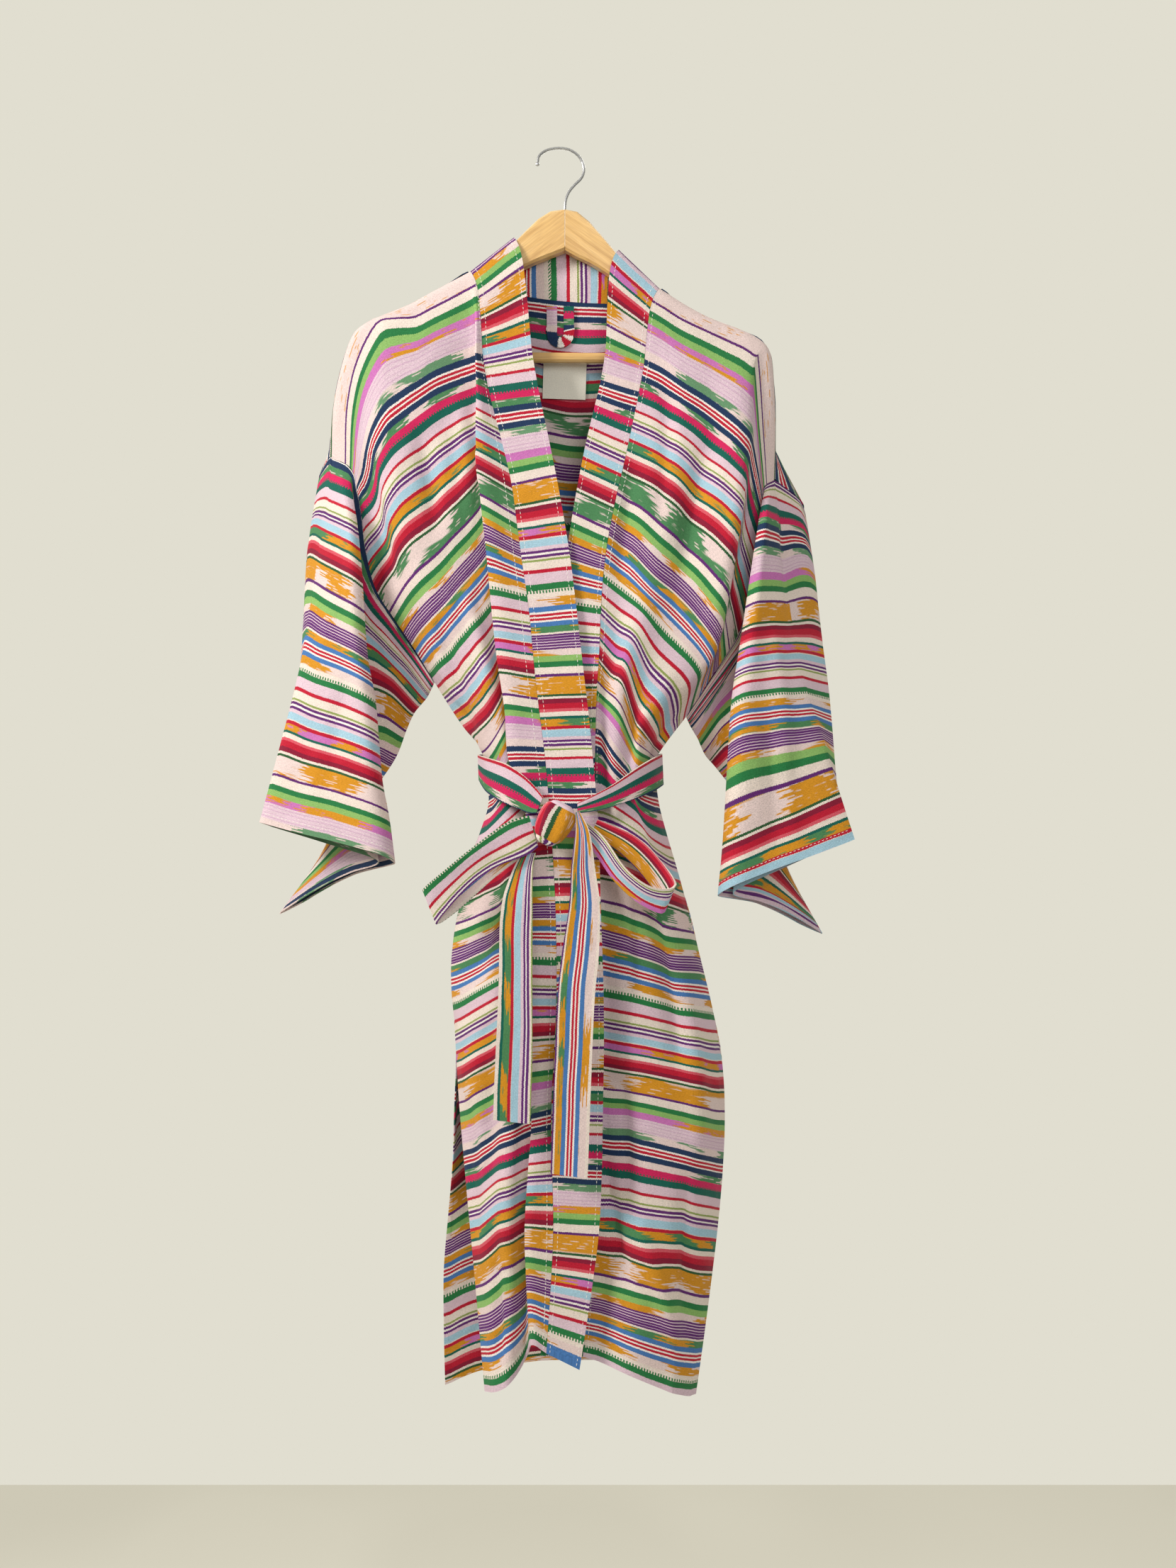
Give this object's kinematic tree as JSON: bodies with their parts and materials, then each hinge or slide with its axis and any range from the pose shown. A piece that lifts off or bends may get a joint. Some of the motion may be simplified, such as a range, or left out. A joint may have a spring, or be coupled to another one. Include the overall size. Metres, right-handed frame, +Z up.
{
  "type": "dressing robe on a wooden hanger",
  "caption": "Wrap-front robe of striped handwoven cloth with wide sleeves and a tied belt bow, hung on a wooden hanger with a steel hook.",
  "frame": {"origin": "underside of the hook's wire at the top of its bend, where it sits on a rail", "axes": "+Z up, front of the robe towards -Y, +X towards the wearer's left"},
  "size_m": [0.6025, 0.1554, 1.3201],
  "materials": {
    "robe_cloth": "matte handwoven stripes",
    "belt_cloth": "matte handwoven stripes",
    "label_cloth": "matte woven tape",
    "hanger_wood": "clear varnish",
    "hook_steel": "bright plated steel"
  },
  "bodies": {
    "root": {"back": "robe_cloth", "band_back": "robe_cloth", "band_left": "robe_cloth", "band_right": "robe_cloth", "front_left": "robe_cloth", "front_right": "robe_cloth", "sleeve_left": "robe_cloth", "sleeve_right": "robe_cloth", "hanging_loop": "robe_cloth", "belt_back": "belt_cloth", "belt_knot": "belt_cloth", "loop_left": "belt_cloth", "loop_right": "belt_cloth", "strap_left": "belt_cloth", "strap_right": "belt_cloth", "tail_left": "belt_cloth", "tail_right": "belt_cloth", "neck_label": "label_cloth", "hanger_arm_left": "hanger_wood", "hanger_arm_right": "hanger_wood", "hanger_bar": "hanger_wood", "hanger_hook": "hook_steel"}
  },
  "joints": []
}
